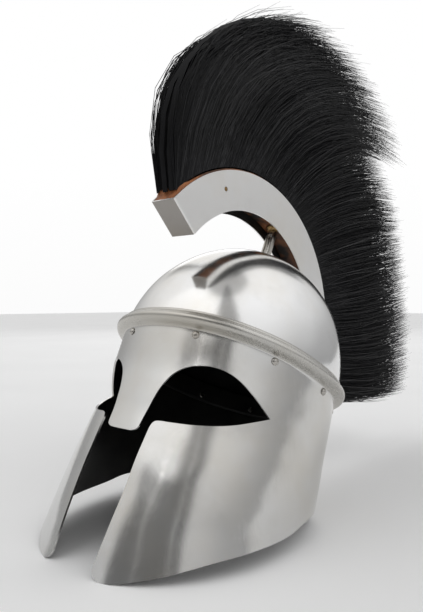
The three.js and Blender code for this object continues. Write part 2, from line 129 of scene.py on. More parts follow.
def curve_at(table, x, column=1):
    """Value of a column at x, by a smooth curve through the table's rows."""
    keys = [row[0] for row in table]
    i = min(max(bisect.bisect_right(keys, x), 1), len(keys) - 1)
    x0, x1 = keys[i - 1], keys[i]
    y0, y1 = table[i - 1][column], table[i][column]
    t = min(1.0, max(0.0, (x - x0) / (x1 - x0)))
    run = (y1 - y0) / (x1 - x0)
    before = run if i < 2 else (y0 - table[i - 2][column]) / (x0 - keys[i - 2])
    after = run if i + 1 >= len(keys) else (table[i + 1][column] - y1) / (keys[i + 1] - x1)
    m0 = 0.0 if before * run <= 0 else 2 * before * run / (before + run)
    m1 = 0.0 if after * run <= 0 else 2 * after * run / (after + run)
    h = x1 - x0
    a = (2 * t**3 - 3 * t**2 + 1) * y0 + (t**3 - 2 * t**2 + t) * h * m0
    return a + (-2 * t**3 + 3 * t**2) * y1 + (t**3 - t**2) * h * m1


def rounded(points, steps=6):
    """A denser run of points on a smooth curve through the given ones."""
    out = []
    for i in range(len(points) - 1):
        p0 = Vector(points[max(i - 1, 0)])
        p1, p2 = Vector(points[i]), Vector(points[i + 1])
        p3 = Vector(points[min(i + 2, len(points) - 1)])
        for k in range(steps):
            t = k / steps
            out.append(
                0.5 * (2 * p1 + (p2 - p0) * t + (2 * p0 - 5 * p1 + 4 * p2 - p3) * t**2
                       + (3 * p1 - p0 - 3 * p2 + p3) * t**3)
            )
    out.append(Vector(points[-1]))
    return out


def arc_point(radius, angle, x=0.0):
    a = math.radians(angle)
    return Vector((x, ARC_Y + radius * math.cos(a), ARC_Z + radius * math.sin(a)))


def wall_point(angle, depth, out=0.0):
    """Point of the guard's wall at an angle from the nose and a depth, moved outwards."""
    side = curve_at(WALL, depth, 1) + out
    front = curve_at(WALL, depth, 2) + out
    back = curve_at(WALL, depth, 3) + out
    s, c = math.sin(math.radians(angle)), math.cos(math.radians(angle))
    fullness = 2 + 0.15 * smooth(0, 0.4, c)
    x = side * math.copysign(abs(s) ** (2 / fullness), s)
    y = (front if c > 0 else back) * abs(c) ** (2 / fullness)
    return Vector((x, -math.copysign(y, c), -depth))


def dome_point(share, turn, grow=0.0):
    """Point of the bowl at a share of its half width and a turn over the head from the front edge."""
    c, s = math.cos(math.radians(turn)), math.sin(math.radians(turn))
    reach = (DOME_FRONT if c > 0 else DOME_BACK) + grow
    power = 2 + 0.15 * smooth(0, 0.5, c)
    share = max(-1.0, min(1.0, share))
    y = -reach * (1 - abs(share) ** power) ** (1 / power) * c
    z = DOME_BASE + (DOME_RISE + grow) * math.sqrt(1 - share * share) * s
    return Vector(((DOME_SIDE + grow) * share, y, z))


# where the upright frame lands once the helmet is set down, from the crest's cross pin
pin_low, pin_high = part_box("crest_pin")
pin_home = (pin_low + pin_high) / 2 / MM
lean_back = Matrix.Rotation(-LEAN, 4, "X")
pin_leant = lean_back @ Vector((0, PIN_Y, PIN_Z))
SET_DOWN = Matrix.Scale(MM, 4) @ Matrix.Translation(pin_home - pin_leant) @ lean_back


def new_piece(name, bm, materials, crease=40.0):
    """Sets a finished shape down on the cheek tips and nape and hangs it on the helmet."""
    bm.transform(SET_DOWN)
    mesh = bpy.data.meshes.new(name)
    bm.to_mesh(mesh)
    bm.free()
    for material in materials:
        mesh.materials.append(material)
    mesh.shade_smooth()
    mesh.set_sharp_from_angle(angle=math.radians(crease))
    piece = bpy.data.objects.new(name, mesh)
    bpy.context.scene.collection.objects.link(piece)
    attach(piece, "root")
    return piece


def applied(piece):
    """Leaves the piece's modifiers in its mesh."""
    graph = bpy.context.evaluated_depsgraph_get()
    mesh = bpy.data.meshes.new_from_object(piece.evaluated_get(graph))
    piece.modifiers.clear()
    piece.data = mesh
    return piece


def loose_object(name, bm):
    mesh = bpy.data.meshes.new(name)
    bm.to_mesh(mesh)
    bm.free()
    thing = bpy.data.objects.new(name, mesh)
    bpy.context.scene.collection.objects.link(thing)
    return thing


def everything(bm):
    return bm.verts[:] + bm.edges[:] + bm.faces[:]


def verts_of(geom):
    return [e for e in geom if isinstance(e, bmesh.types.BMVert)]


def facing_out(bm):
    """Turns the faces of an open skin away from the helmet's middle."""
    bmesh.ops.recalc_face_normals(bm, faces=bm.faces[:])
    if sum(f.normal.dot(f.calc_center_median()) for f in bm.faces) < 0:
        bmesh.ops.reverse_faces(bm, faces=bm.faces[:])


def turned(profile, steps):
    """A solid turned on a lathe, from pairs of radius and height."""
    bm = bmesh.new()
    verts = [bm.verts.new((r, 0, h)) for r, h in profile]
    edges = [bm.edges.new(pair) for pair in zip(verts, verts[1:])]
    bmesh.ops.spin(
        bm, geom=verts + edges, cent=(0, 0, 0), axis=(0, 0, 1), angle=2 * math.pi, steps=steps, use_merge=True,
    )
    bmesh.ops.remove_doubles(bm, verts=bm.verts[:], dist=0.01)
    bmesh.ops.recalc_face_normals(bm, faces=bm.faces[:])
    return bm


def cut_away(block, cutter):
    """Cuts one loose block out of another and returns what is left, in a bmesh."""
    cut = block.modifiers.new("cut", "BOOLEAN")
    cut.operation = "DIFFERENCE"
    cut.solver = "EXACT"
    cut.object = cutter
    graph = bpy.context.evaluated_depsgraph_get()
    bm = bmesh.new()
    bm.from_mesh(block.evaluated_get(graph).to_mesh())
    for thing in (block, cutter):
        bpy.data.objects.remove(thing)
    return bm


# ---- materials -------------------------------------------------------------------------------------------


def set_stops(ramp, stops):
    """Gives a colour ramp its stops, from pairs of place and colour."""
    while len(ramp.elements) > 1:
        ramp.elements.remove(ramp.elements[-1])
    ramp.elements[0].position = stops[0][0]
    ramp.elements[0].color = (*stops[0][1], 1)
    for position, colour in stops[1:]:
        ramp.elements.new(position).color = (*colour, 1)


class Finish:
    """A material under construction: short names for adding and wiring its nodes."""

    def __init__(self, name):
        self.material = bpy.data.materials.new(name)
        self.material.use_nodes = True
        self.tree = self.material.node_tree
        self.tree.nodes.clear()
        self.shader = self.add("ShaderNodeBsdfPrincipled")
        output = self.add("ShaderNodeOutputMaterial")
        self.wire(self.shader.outputs["BSDF"], output.inputs["Surface"])
        self.place = self.add("ShaderNodeTexCoord").outputs["Object"]

    def add(self, kind, **settings):
        node = self.tree.nodes.new(kind)
        for key, value in settings.items():
            setattr(node, key, value)
        return node

    def wire(self, a, b):
        self.tree.links.new(a, b)

    def stretched(self, scale, turn=(0, 0, 0)):
        node = self.add("ShaderNodeMapping")
        node.inputs["Rotation"].default_value = turn
        node.inputs["Scale"].default_value = scale
        self.wire(self.place, node.inputs["Vector"])
        return node.outputs["Vector"]

    def grain(self, where, scale, detail=3.0, roughness=0.55, distortion=0.0):
        node = self.add("ShaderNodeTexNoise")
        self.wire(where, node.inputs["Vector"])
        node.inputs["Scale"].default_value = scale
        node.inputs["Detail"].default_value = detail
        node.inputs["Roughness"].default_value = roughness
        node.inputs["Distortion"].default_value = distortion
        return node.outputs["Fac"]

    def ramp(self, source, stops):
        node = self.add("ShaderNodeValToRGB")
        set_stops(node.color_ramp, stops)
        self.wire(source, node.inputs["Fac"])
        return node.outputs["Color"]

    def level(self, source, low, high, start=0.3, end=0.7):
        node = self.add("ShaderNodeMapRange")
        node.inputs["From Min"].default_value = start
        node.inputs["From Max"].default_value = end
        node.inputs["To Min"].default_value = low
        node.inputs["To Max"].default_value = high
        self.wire(source, node.inputs["Value"])
        return node.outputs["Result"]

    def mixed(self, a, b, factor, blend="MIX"):
        node = self.add("ShaderNodeMix", data_type="RGBA", blend_type=blend)
        for socket, value in ((node.inputs[6], a), (node.inputs[7], b)):
            if isinstance(value, tuple):
                socket.default_value = (*value, 1)
            else:
                self.wire(value, socket)
        if isinstance(factor, (int, float)):
            node.inputs[0].default_value = factor
        else:
            self.wire(factor, node.inputs[0])
        return node.outputs[2]

    def raised(self, height, distance, strength=1.0, under=None):
        node = self.add("ShaderNodeBump")
        node.inputs["Distance"].default_value = distance
        node.inputs["Strength"].default_value = strength
        self.wire(height, node.inputs["Height"])
        if under is not None:
            self.wire(under, node.inputs["Normal"])
        return node.outputs["Normal"]

    def set(self, **values):
        for key, value in values.items():
            socket = self.shader.inputs[key.replace("_", " ")]
            if isinstance(value, (int, float)):
                socket.default_value = value
            elif isinstance(value, tuple):
                socket.default_value = (*value, 1) if len(value) == 3 else value
            else:
                self.wire(value, socket)
        return self.material


def polished_steel(name, tone, rough, waves, worn=0.4):
    """Sheet steel worked by hand and polished: wavy, finely scratched, with a few duller patches."""
    f = Finish(name)
    patches = f.grain(f.place, 9, 4, 0.6)
    scratches = f.grain(f.stretched((170, 170, 8)), 4, 5, 0.7)
    stains = f.grain(f.place, 34, 6, 0.65)
    warm = tuple(c * k for c, k in zip(tone, (0.95, 0.925, 0.88)))
    colour = f.mixed(tone, warm, f.level(patches, 0, 1, 0.42, 0.66))
    colour = f.mixed(colour, tuple(0.8 * c for c in tone), f.level(stains, 0, worn, 0.56, 0.8))
    gloss = f.add("ShaderNodeMath", operation="ADD")
    f.wire(f.level(patches, rough - 0.03, rough + 0.06, 0.35, 0.7), gloss.inputs[0])
    f.wire(f.level(scratches, -0.03, 0.06, 0.3, 0.7), gloss.inputs[1])
    wavy = f.raised(f.grain(f.place, 16, 1.5, 0.4), waves, 1.0)
    fine = f.raised(scratches, 0.00003, 0.5, wavy)
    return f.set(Base_Color=colour, Metallic=1.0, Roughness=gloss.outputs[0], Normal=fine)


def black_paint():
    f = Finish("Black paint inside")
    brushed = f.grain(f.place, 60, 4, 0.6)
    colour = f.ramp(brushed, [(0.3, (0.006, 0.006, 0.006)), (0.75, (0.022, 0.021, 0.02))])
    bumps = f.raised(brushed, 0.0003, 0.5)
    return f.set(Base_Color=colour, Roughness=f.level(brushed, 0.32, 0.5), Normal=bumps,
                 Specular_IOR_Level=0.4)


def stained_wood(name, painted_shade):
    f = Finish(name)
    along = f.grain(f.stretched((1, 0.12, 1)), 90, 5, 0.65, 0.4)
    blotch = f.grain(f.place, 26, 3, 0.5)
    stain = [(0.25, (0.16, 0.048, 0.015)), (0.55, (0.42, 0.15, 0.05)), (0.8, (0.60, 0.27, 0.11))]
    colour = f.ramp(along, stain)
    # painted_shade darkens the whole wood towards near black as painted shade, on top of the random dark
    # blotches of the stain
    colour = f.mixed(colour, (0.012, 0.008, 0.006), f.level(blotch, painted_shade - 0.25, painted_shade + 0.75, 0.4, 0.6))
    bumps = f.raised(along, 0.0004, 0.6)
    return f.set(Base_Color=colour, Roughness=f.level(along, 0.5, 0.75), Normal=bumps)


def aged_brass():
    f = Finish("Dull brass")
    spots = f.grain(f.place, 260, 4, 0.6)
    colour = f.ramp(spots, [(0.3, (0.20, 0.12, 0.05)), (0.7, (0.56, 0.38, 0.17))])
    return f.set(Base_Color=colour, Metallic=1.0, Roughness=f.level(spots, 0.28, 0.5),
                 Normal=f.raised(spots, 0.0002, 0.5))


def horsehair(name, deep, light, shine):
    f = Finish(name)
    fine = f.grain(f.stretched((3, 1, 1)), 70, 4, 0.7)
    broad = f.grain(f.place, 12, 2, 0.5)
    colour = f.ramp(fine, [(0.3, deep), (0.78, light)])
    colour = f.mixed(colour, deep, f.level(broad, 0, 0.6, 0.45, 0.7))
    return f.set(Base_Color=colour, Roughness=f.level(fine, 0.36, 0.55), Specular_IOR_Level=shine)


STEEL = polished_steel("Polished steel", (0.67, 0.668, 0.66), 0.15, 0.0006)
BOWL_STEEL = polished_steel("Polished bowl steel", (0.80, 0.80, 0.80), 0.13, 0.0014)
MOULDING_STEEL = polished_steel("Duller steel of the moulding", (0.54, 0.53, 0.505), 0.26, 0.0004, 0.15)
CHANNEL_STEEL = polished_steel("Brushed channel steel", (0.86, 0.855, 0.845), 0.36, 0.0008, 0.2)
# The channel's downward-facing end plate gets a far darker tone than its side plates, and a rougher finish.
DARK_END_STEEL = polished_steel("Darker, duller steel of the channel's end", (0.36, 0.34, 0.32), 0.4, 0.0006)
RIVET_STEEL = polished_steel("Rivet steel", (0.50, 0.485, 0.46), 0.24, 0.0005)
BLACK = black_paint()
WOOD = stained_wood("Orange stained wood", 0.0)
# The block's underside: the same stain darkened by painted shade, where shade falls under the block.
SHADED_UNDERSIDE_WOOD = stained_wood("Wood with painted shade underneath", 0.6)
BRASS = aged_brass()
HAIR = horsehair("Black horsehair", (0.003, 0.003, 0.0035), (0.010, 0.010, 0.012), 0.2)
GREY_HAIR = horsehair("Dusty black horsehair", (0.008, 0.008, 0.009), (0.035, 0.035, 0.038), 0.35)


# ---- face guard ------------------------------------------------------------------------------------------


def rows_of_blank():
    """Depths of the sheet's rows: close over the moulding, wider down the wall."""
    rows = [-8 + 0.7 * i for i in range(28)]
    while rows[-1] < 214:
        rows.append(rows[-1] + 3.4)
    return rows


def flat_blank(columns=240):
    """The guard's sheet laid out flat, as angle by depth by thickness."""
    rows = rows_of_blank()
    bm = bmesh.new()
    bmesh.ops.create_grid(bm, x_segments=columns, y_segments=len(rows) - 1, size=0.5)
    for v in bm.verts:
        row = round((v.co.y + 0.5) * (len(rows) - 1))
        v.co = Vector((360 * v.co.x, rows[row], 0))
    inner = bmesh.ops.extrude_face_region(bm, geom=bm.faces[:])["geom"]
    moved = set(verts_of(inner))
    for v in moved:
        v.co.z = -SHEET
    for face in bm.faces:
        face.material_index = 1 if all(v in moved for v in face.verts) else 0
    bmesh.ops.recalc_face_normals(bm, faces=bm.faces[:])
    return bm


def flat_cutter(outline):
    """A flat plug with the given outline, thick enough to go through the sheet."""
    bm = bmesh.new()
    ring = [bm.verts.new((a, d, 4)) for a, d in outline]
    face = bm.faces.new(ring)
    plug = bmesh.ops.extrude_face_region(bm, geom=[face])["geom"]
    bmesh.ops.translate(bm, vec=(0, 0, -10), verts=verts_of(plug))
    bmesh.ops.triangulate(bm, faces=[f for f in bm.faces if len(f.verts) > 4])
    bmesh.ops.recalc_face_normals(bm, faces=bm.faces[:])
    return bm


def face_opening():
    """Outline of the one opening for both eyes and the gap between the cheeks."""
    left = rounded(NASAL_TIP + EYE_TOP)[:-1] + rounded(EYE_LOWER)[:-1] + rounded(CHEEK_FRONT)
    left = [(p[0], p[1]) for p in left]
    right = [(-a, d) for a, d in reversed(left[1:])]
    return left + right


def hem_scrap():
    """Outline of the scrap below the hem."""
    edge = [(p[0], p[1]) for p in rounded(HEM, 8)]
    full = [(-a, d) for a, d in reversed(edge[1:])] + edge
    return [(-190, full[0][1])] + full + [(190, full[-1][1]), (190, 250), (-190, 250)]


def dents(angle, depth):
    """Small unevenness of a sheet that was worked by hand."""
    p = wall_point(angle, depth)
    broad = noise.noise(p * 0.022 + Vector((3, 1, 7)))
    small = noise.noise(p * 0.055 + Vector((9, 4, 2)))
    return 0.55 * broad + 0.16 * small


def face_guard():
    blank = loose_object("blank", flat_blank())
    opened = cut_away(blank, loose_object("opening", flat_cutter(face_opening())))
    bm = cut_away(loose_object("opened", opened), loose_object("scrap", flat_cutter(hem_scrap())))
    seam = [f for f in bm.faces if all(abs(abs(v.co.x) - 180) < 1e-3 for v in f.verts)]
    bmesh.ops.delete(bm, geom=seam, context="FACES")
    for face in bm.faces:
        if face.material_index == 0 and face.calc_center_median().y < MOULDING_FOOT:
            face.material_index = 2
    for v in bm.verts:
        angle, depth, deep = v.co
        out = curve_at(MOULDING, -depth) + deep
        v.co = wall_point(angle, depth, out + dents(angle if abs(angle) < 180 else 180, depth))
    bmesh.ops.remove_doubles(bm, verts=bm.verts[:], dist=0.01)
    floor_normal = Vector((0, -math.sin(LEAN), math.cos(LEAN)))
    ring_height = (pin_home - pin_leant).z
    cut = bmesh.ops.bisect_plane(
        bm, geom=everything(bm), dist=0.001,
        plane_co=-ring_height * floor_normal, plane_no=floor_normal, clear_inner=True,
    )["geom_cut"]
    level = [e for e in cut if isinstance(e, bmesh.types.BMEdge) and e.is_boundary]
    filled = bmesh.ops.edgenet_fill(bm, edges=level)["faces"]
    bmesh.ops.triangulate(bm, faces=filled)
    bmesh.ops.recalc_face_normals(bm, faces=bm.faces[:])
    guard = new_piece("guard_sheet", bm, [STEEL, BLACK, MOULDING_STEEL], 50)
    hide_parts("face_guard")


# ---- bowl and brow band ----------------------------------------------------------------------------------


def bowl():
    columns, rows = 150, 130
    bm = bmesh.new()
    bmesh.ops.create_grid(bm, x_segments=columns, y_segments=rows, size=0.5)
    for v in bm.verts:
        share, turn = math.sin(math.pi * v.co.x), 180 * (v.co.y + 0.5)
        wave = 0.35 * noise.noise(dome_point(share, turn) * 0.03 + Vector((5, 8, 1)))
        v.co = dome_point(share, turn, wave)
    bmesh.ops.remove_doubles(bm, verts=bm.verts[:], dist=0.05)
    facing_out(bm)
    shell = new_piece("bowl_shell", bm, [BOWL_STEEL, BLACK], 50)
    thick_sheet(shell)
    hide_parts("bowl")


def thick_sheet(piece):
    """Gives a skin its sheet's thickness on the inside, painted black there."""
    wall = piece.modifiers.new("sheet", "SOLIDIFY")
    wall.thickness = SHEET * MM
    wall.offset = -1
    wall.material_offset = 1
    applied(piece)


def brow_band():
    """The band inside the brow that the guard is riveted to."""
    bm = bmesh.new()
    bmesh.ops.create_grid(bm, x_segments=180, y_segments=8, size=0.5)
    for v in bm.verts:
        v.co = wall_point(360 * v.co.x, 18 - 22 * (v.co.y + 0.5), -2.1)
    bmesh.ops.remove_doubles(bm, verts=bm.verts[:], dist=0.01)
    facing_out(bm)
    band = new_piece("rivet_band", bm, [BLACK, BLACK], 50)
    thick_sheet(band)
    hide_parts("brow_band")


# ---- rivets ----------------------------------------------------------------------------------------------

RIVET_ANGLES = [-161, -127, -91, -59.5, -18, 21, 59.5, 91, 127, 161]


def rivet(number, angle):
    """A hammered domed head with its shank and the spread tail inside."""
    rng = random.Random(number)
    profile = [(0, 2.3), (1.2, 2.15), (2.2, 1.75), (3.0, 1.0), (3.4, 0.35), (3.4, 0.1), (1.7, 0.1), (1.7, -4.1),
               (3.0, -4.1), (2.4, -4.9), (0, -5.1)]
    bm = turned(profile, 20)
    for v in bm.verts:
        if v.co.z > 0.5:
            v.co += 0.12 * noise.noise_vector(v.co * 0.5 + Vector((number, 0, 0)))
    place = wall_point(angle, RIVET_DEPTH)
    along = wall_point(angle + 0.5, RIVET_DEPTH) - wall_point(angle - 0.5, RIVET_DEPTH)
    outward = Vector((along.y, -along.x, 0)).normalized()
    if outward.dot(place) < 0:
        outward.negate()
    tilt = Matrix.Rotation(rng.uniform(-0.06, 0.06), 4, "X")
    place += outward * dents(angle, RIVET_DEPTH)
    bm.transform(Matrix.Translation(place) @ outward.to_track_quat("Z", "Y").to_matrix().to_4x4() @ tilt)
    piece = new_piece(f"rivet_head_{number:02d}", bm, [RIVET_STEEL], 45)
    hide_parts(f"rivet_{number:02d}")


# ---- crest channel, block, post, pin and nail ------------------------------------------------------------


def sliced(bm, start, end, steps):
    """Cuts a straight shape into equal lengths, so that it can be bent."""
    for i in range(1, steps):
        at = start + (end - start) * i / steps
        bmesh.ops.bisect_plane(
            bm, geom=everything(bm), dist=0.0001, plane_co=(0, at, 0), plane_no=(0, 1, 0),
        )


def bent(bm):
    """Bends a straight shape round the crest's centre: x across, y along in degrees, z the radius."""
    for v in bm.verts:
        v.co = arc_point(v.co.z, v.co.y, v.co.x)


def straight_bar(bm, half, inner, outer, start, end, steps):
    """A straight box with many rings along it, ready to be bent."""
    made = bmesh.ops.create_cube(bm, size=1)["verts"]
    for v in made:
        v.co = Vector((
            2 * half * v.co.x,
            start if v.co.y < 0 else end,
            inner if v.co.z < 0 else outer,
        ))
    sliced(bm, start, end, steps)


def crest_channel():
    """Frame of two side plates and two end plates, open above and below, bent round the crest's centre."""
    half = CHANNEL_WIDTH / 2
    bm = bmesh.new()
    bmesh.ops.create_grid(bm, x_segments=1, y_segments=1, size=0.5)
    for v in bm.verts:
        v.co = Vector((2 * half * v.co.x, ARC_REAR + (ARC_FRONT - ARC_REAR) * (v.co.y + 0.5), ARC_OUTER))
    inset = bmesh.ops.inset_individual(bm, faces=bm.faces[:], thickness=CHANNEL_PLATE, use_even_offset=True)
    ends = math.degrees(1.5 / ARC_OUTER)
    centre = [f for f in bm.faces if f not in set(inset["faces"])]
    for v in centre[0].verts:
        v.co.y = ARC_REAR + ends if v.co.y < 60 else ARC_FRONT - ends
    bmesh.ops.delete(bm, geom=centre, context="FACES_ONLY")
    walls = bmesh.ops.extrude_face_region(bm, geom=bm.faces[:])["geom"]
    for v in verts_of(walls):
        v.co.z = ARC_INNER
    bmesh.ops.recalc_face_normals(bm, faces=bm.faces[:])
    corners = [e for e in bm.edges
               if abs(e.verts[0].co.z - e.verts[1].co.z) > 1 and abs(abs(e.verts[0].co.x) - half) < 0.01]
    bmesh.ops.bevel(bm, geom=corners, offset=0.9, offset_type="OFFSET", segments=3, profile=0.5, affect="EDGES",
                    material=-1)
    sliced(bm, ARC_REAR, ARC_FRONT, 110)
    # The side plates' inner faces take the black material of the helmet's inside, which gives the dark band
    # seen between the plates.
    for face in bm.faces:
        middle = face.calc_center_median()
        inward = abs(middle.x) < half - 0.6 and ARC_REAR + 0.3 < middle.y < ARC_FRONT - 0.3
        face.material_index = 1 if inward and abs(face.normal.z) < 0.5 else 0
        # The front end plate takes that darker steel.
        if abs(middle.y - ARC_FRONT) < 0.05 and abs(middle.x) < half - 0.5:
            face.material_index = 2
    bent(bm)
    drill = bmesh.new()
    bmesh.ops.create_cone(drill, cap_ends=True, segments=28, radius1=2.3, radius2=2.3, depth=CHANNEL_WIDTH + 12)
    drill.transform(Matrix.Translation((0, PIN_Y, PIN_Z)) @ Matrix.Rotation(math.pi / 2, 4, "Y"))
    bmesh.ops.recalc_face_normals(drill, faces=drill.faces[:])
    bm = cut_away(loose_object("plates", bm), loose_object("drill", drill))
    piece = new_piece("channel_plates", bm, [CHANNEL_STEEL, BLACK, DARK_END_STEEL], 30)
    edge = piece.modifiers.new("filed edge", "BEVEL")
    edge.width = 0.25 * MM
    edge.segments = 1
    edge.limit_method = "ANGLE"
    edge.angle_limit = math.radians(50)
    applied(piece)
    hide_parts("crest_holder")


def crest_block():
    half = CHANNEL_WIDTH / 2 - CHANNEL_PLATE - 0.2
    ends = math.degrees(1.8 / ARC_OUTER)
    bm = bmesh.new()
    straight_bar(bm, half, BLOCK_UNDERSIDE, ARC_OUTER + 1.5, ARC_REAR + ends, ARC_FRONT - ends, 90)
    for v in bm.verts:
        if v.co.z > ARC_OUTER:
            v.co.z += 1.9 * smooth(ARC_FRONT - 11, ARC_FRONT - 8, v.co.y)
            v.co.z -= 3.6 * smooth(ARC_FRONT - 4, ARC_FRONT - 2, v.co.y)
            v.co.z += 0.3 * noise.noise(Vector((0.3 * v.co.x, 0.4 * v.co.y, 0)))
    # Faces low on the block, its underside, get the wood darkened by painted shade.
    for face in bm.faces:
        face.material_index = 1 if face.calc_center_median().z < 130 else 0
    bent(bm)
    piece = new_piece("crest_core", bm, [WOOD, SHADED_UNDERSIDE_WOOD], 30)
    edge = piece.modifiers.new("worn edge", "BEVEL")
    edge.width = 0.7 * MM
    edge.segments = 2
    edge.limit_method = "ANGLE"
    edge.angle_limit = math.radians(50)
    applied(piece)
    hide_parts("crest_block")


def cross_pin():
    bm = bmesh.new()
    bmesh.ops.create_cone(bm, cap_ends=True, segments=24, radius1=1.8, radius2=1.8, depth=CHANNEL_WIDTH + 0.4)
    caps = [f for f in bm.faces if len(f.verts) > 4]
    rims = list({e for f in caps for e in f.edges})
    bmesh.ops.bevel(bm, geom=rims, offset=0.35, offset_type="OFFSET", segments=2, profile=0.5, affect="EDGES",
                    material=-1)
    bm.transform(Matrix.Translation((0, PIN_Y, PIN_Z)) @ Matrix.Rotation(math.pi / 2, 4, "Y"))
    piece = new_piece("cross_pin", bm, [BRASS], 40)
    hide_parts("crest_pin")


NAIL_Y, POST_Y = -9.0, -7.0


def block_underside(y):
    return ARC_Z + math.sqrt(BLOCK_UNDERSIDE**2 - (y - ARC_Y) ** 2)


def crest_nail():
    top = block_underside(NAIL_Y) - 0.6
    profile = [(0, -3.4), (2.2, -3.3), (4.2, -2.9), (5.8, -2.1), (6.6, -1.1), (6.8, -0.3), (6.5, 0), (1.5, 0),
               (1.5, 13), (0, 14)]
    bm = turned(profile, 28)
    bm.transform(Matrix.Translation((0, NAIL_Y, top)))
    piece = new_piece("crest_nail_head", bm, [BRASS], 40)
    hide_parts("crest_nail")


def crest_post():
    """A fork of flat strip: two legs and the bridge that joins them under the nail."""
    top = block_underside(NAIL_Y) - 3.4 - 0.9
    foot = DOME_BASE + DOME_RISE + 0.6
    bm = bmesh.new()
    bmesh.ops.create_cube(bm, size=1)
    for v in bm.verts:
        v.co = Vector((9.6 * v.co.x, POST_Y + 6 * v.co.y, top if v.co.z > 0 else top - 4))
    for at in (-2.4, 2.4):
        bmesh.ops.bisect_plane(bm, geom=everything(bm), dist=0.0001, plane_co=(at, 0, 0), plane_no=(1, 0, 0))
    for side in (-1, 1):
        below = [f for f in bm.faces
                 if f.normal.z < -0.9 and side * f.calc_center_median().x > 3]
        leg = bmesh.ops.extrude_face_region(bm, geom=below)["geom"]
        bmesh.ops.delete(bm, geom=below, context="FACES_ONLY")
        for v in verts_of(leg):
            v.co.z = foot + 1.0 - 0.02 * v.co.y
    bmesh.ops.recalc_face_normals(bm, faces=bm.faces[:])
    bmesh.ops.bevel(bm, geom=bm.edges[:], offset=0.45, offset_type="OFFSET", segments=2, profile=0.5,
                    affect="EDGES", material=-1)
    piece = new_piece("crest_fork", bm, [RIVET_STEEL], 40)
    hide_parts("crest_post")


# ---- hair ------------------------------------------------------------------------------------------------

# root angle on the arc, place of the tip, heading at the root and how soon the hair turns
STRANDS = [
    (-4, 358, 128, 18, 0.4),
    (12, 344, 186, 20, 0.4),
    (27, 314, 236, 26, 0.4),
    (42, 278, 279, 36, 0.4),
    (58, 240, 317, 48, 0.4),
    (72, 208, 346, 60, 0.42),
    (84, 150, 366, 70, 0.46),
    (92, 100, 374, 77, 0.48),
    (95.5, 188, 408, 80, 0.44),
    (103, 168, 428, 85, 0.44),
    (110, 136, 438, 90, 0.44),
    (118, 98, 442, 96, 0.45),
    (126, 58, 439, 101, 0.47),
    (134, 22, 432, 106, 0.49),
    (142, -10, 422, 110, 0.52),
    (150, -38, 410, 115, 0.56),
    (154, -52, 403, 120, 0.56),
    (157.5, -65, 394, 128, 0.55),
]


def strand_line(angle, points, length=1.0, sway=0.0):
    """Middle line of a strand in the middle plane, from its root on the arc to its tip."""
    root = arc_point(ARC_OUTER + 3.0, angle)
    tip = Vector((0, curve_at(STRANDS, angle, 1), curve_at(STRANDS, angle, 2)))
    heading = math.radians(curve_at(STRANDS, angle, 3) + sway)
    turn = root + Vector((0, math.cos(heading), math.sin(heading))) * (tip - root).length * curve_at(
        STRANDS, angle, 4)
    line = []
    for i in range(points):
        t = length * i / (points - 1)
        line.append((1 - t) ** 2 * root + 2 * t * (1 - t) * turn + t * t * tip)
    return line


def hair_curves(name, count, seed, thick, jitter, depth_share, lengths, material, points=7):
    """Many tapering hairs as one mesh, each a thin tube along its own line."""
    rng = random.Random(seed)
    data = bpy.data.curves.new(name, "CURVE")
    data.dimensions = "3D"
    data.bevel_depth = thick
    data.bevel_resolution = 0
    data.use_fill_caps = True
    low, high = STRANDS[0][0], STRANDS[-1][0]
    for i in range(count):
        angle = low + (high - low) * (i + rng.random()) / count
        side = rng.choice((-1, 1)) * depth_share ** 0.5 * rng.random() ** (1 - depth_share)
        length = rng.uniform(*lengths)
        line = strand_line(angle, points, length, rng.gauss(0, 4 * jitter))
        start, finish = 12 * side, 22 * side + rng.gauss(0, 2 * jitter)
        tuft = smooth(92, 100, angle)
        drift = Vector((0, rng.gauss(0, (4 + 5 * tuft) * jitter), rng.gauss(0, (4 + 5 * tuft) * jitter)))
        wave = rng.uniform(0, 6.28)
        spline = data.splines.new("POLY")
        spline.points.add(points - 1)
        for k, p in enumerate(line):
            t = k / (points - 1)
            x = start + (finish - start) * math.sin(0.5 * math.pi * t)
            q = p + drift * t * t + Vector((x, 0, 0))
            q += Vector((0.8, 0.8, -0.8)) * math.sin(wave + 5 * t) * t
            spline.points[k].co = (*q, 1)
            spline.points[k].radius = (1 - 0.75 * t**3)
    curve = bpy.data.objects.new(name, data)
    bpy.context.scene.collection.objects.link(curve)
    graph = bpy.context.evaluated_depsgraph_get()
    bm = bmesh.new()
    bm.from_mesh(curve.evaluated_get(graph).to_mesh())
    bpy.data.objects.remove(curve)
    bmesh.ops.recalc_face_normals(bm, faces=bm.faces[:])
    return new_piece(name, bm, [material], 60)


def hair():
    core = hair_curves("hair_core", 560, 11, 3.0, 0.6, 0.25, (0.7, 0.93), HAIR, 9)
    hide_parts("hair_brush")
    hair_curves("hair_strands_fine_one", 3500, 12, 0.3, 1.0, 0.9, (0.8, 1.02), HAIR)
    hair_curves("hair_strands_fine_two", 3500, 13, 0.3, 1.0, 0.9, (0.8, 1.02), HAIR)
    hair_curves("hair_strands_outer", 3500, 15, 0.34, 0.9, 0.97, (0.78, 1.0), HAIR)
    hair_curves("hair_strands_dusty", 1500, 14, 0.28, 1.1, 0.97, (0.7, 1.03), GREY_HAIR)


# ---- making ----------------------------------------------------------------------------------------------

face_guard()
bowl()
brow_band()
for number, angle in enumerate(RIVET_ANGLES, 1):
    rivet(number, angle)
crest_channel()
crest_block()
cross_pin()
crest_nail()
crest_post()
hair()

# ---- room, light and camera ------------------------------------------------------------------------------


